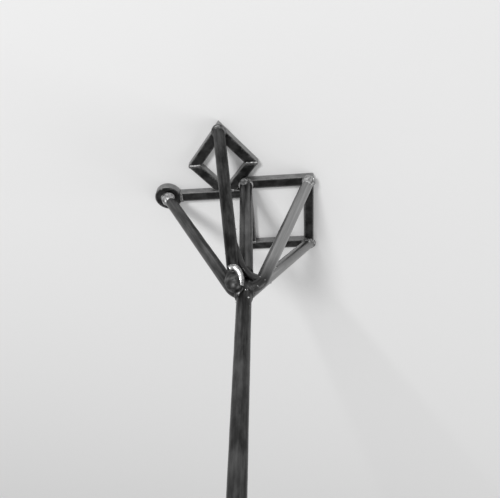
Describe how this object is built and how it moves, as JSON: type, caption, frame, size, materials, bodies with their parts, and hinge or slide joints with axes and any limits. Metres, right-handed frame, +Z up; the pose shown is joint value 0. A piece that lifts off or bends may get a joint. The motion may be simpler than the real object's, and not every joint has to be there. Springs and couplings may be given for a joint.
{
  "type": "branding iron",
  "caption": "Long round steel shaft with a hanging ring; round struts fan out from its end to a flat figure of bars: a box, a rail with a round boss, and a diamond.",
  "frame": {"origin": "where the shaft's axis meets the plane of the branding face", "axes": "+Z up the shaft towards the hanging ring, +X to the right and +Y up the figure as seen from behind, which is the picture's side"},
  "size_m": [0.1762, 0.1586, 0.914],
  "materials": {
    "round_bar": "hot-rolled steel, dark and slightly shiny, rubbed lighter along the rods",
    "figure_bar": "steel bar blackened by the fire, nearly matt",
    "weld_bead": "rippled weld metal, bright where it has been brushed"
  },
  "bodies": {
    "root": {"shaft": "round_bar", "hanging_ring": "round_bar", "left_strut": "round_bar", "top_strut": "round_bar", "right_strut": "round_bar", "lower_strut": "round_bar", "centre_strut": "round_bar", "tie_rod": "round_bar", "box_top_bar": "figure_bar", "box_bottom_bar": "figure_bar", "box_left_bar": "figure_bar", "box_right_bar": "figure_bar", "end_boss": "figure_bar", "rail_bar": "figure_bar", "diamond_upper_bar": "figure_bar", "diamond_lower_bar": "figure_bar", "left_tip_weld": "weld_bead", "top_tip_weld": "weld_bead", "right_tip_weld": "weld_bead", "lower_tip_weld": "weld_bead", "centre_tip_weld": "weld_bead", "foot_weld": "weld_bead", "ring_weld": "weld_bead", "joint_welds": "weld_bead"}
  },
  "joints": []
}
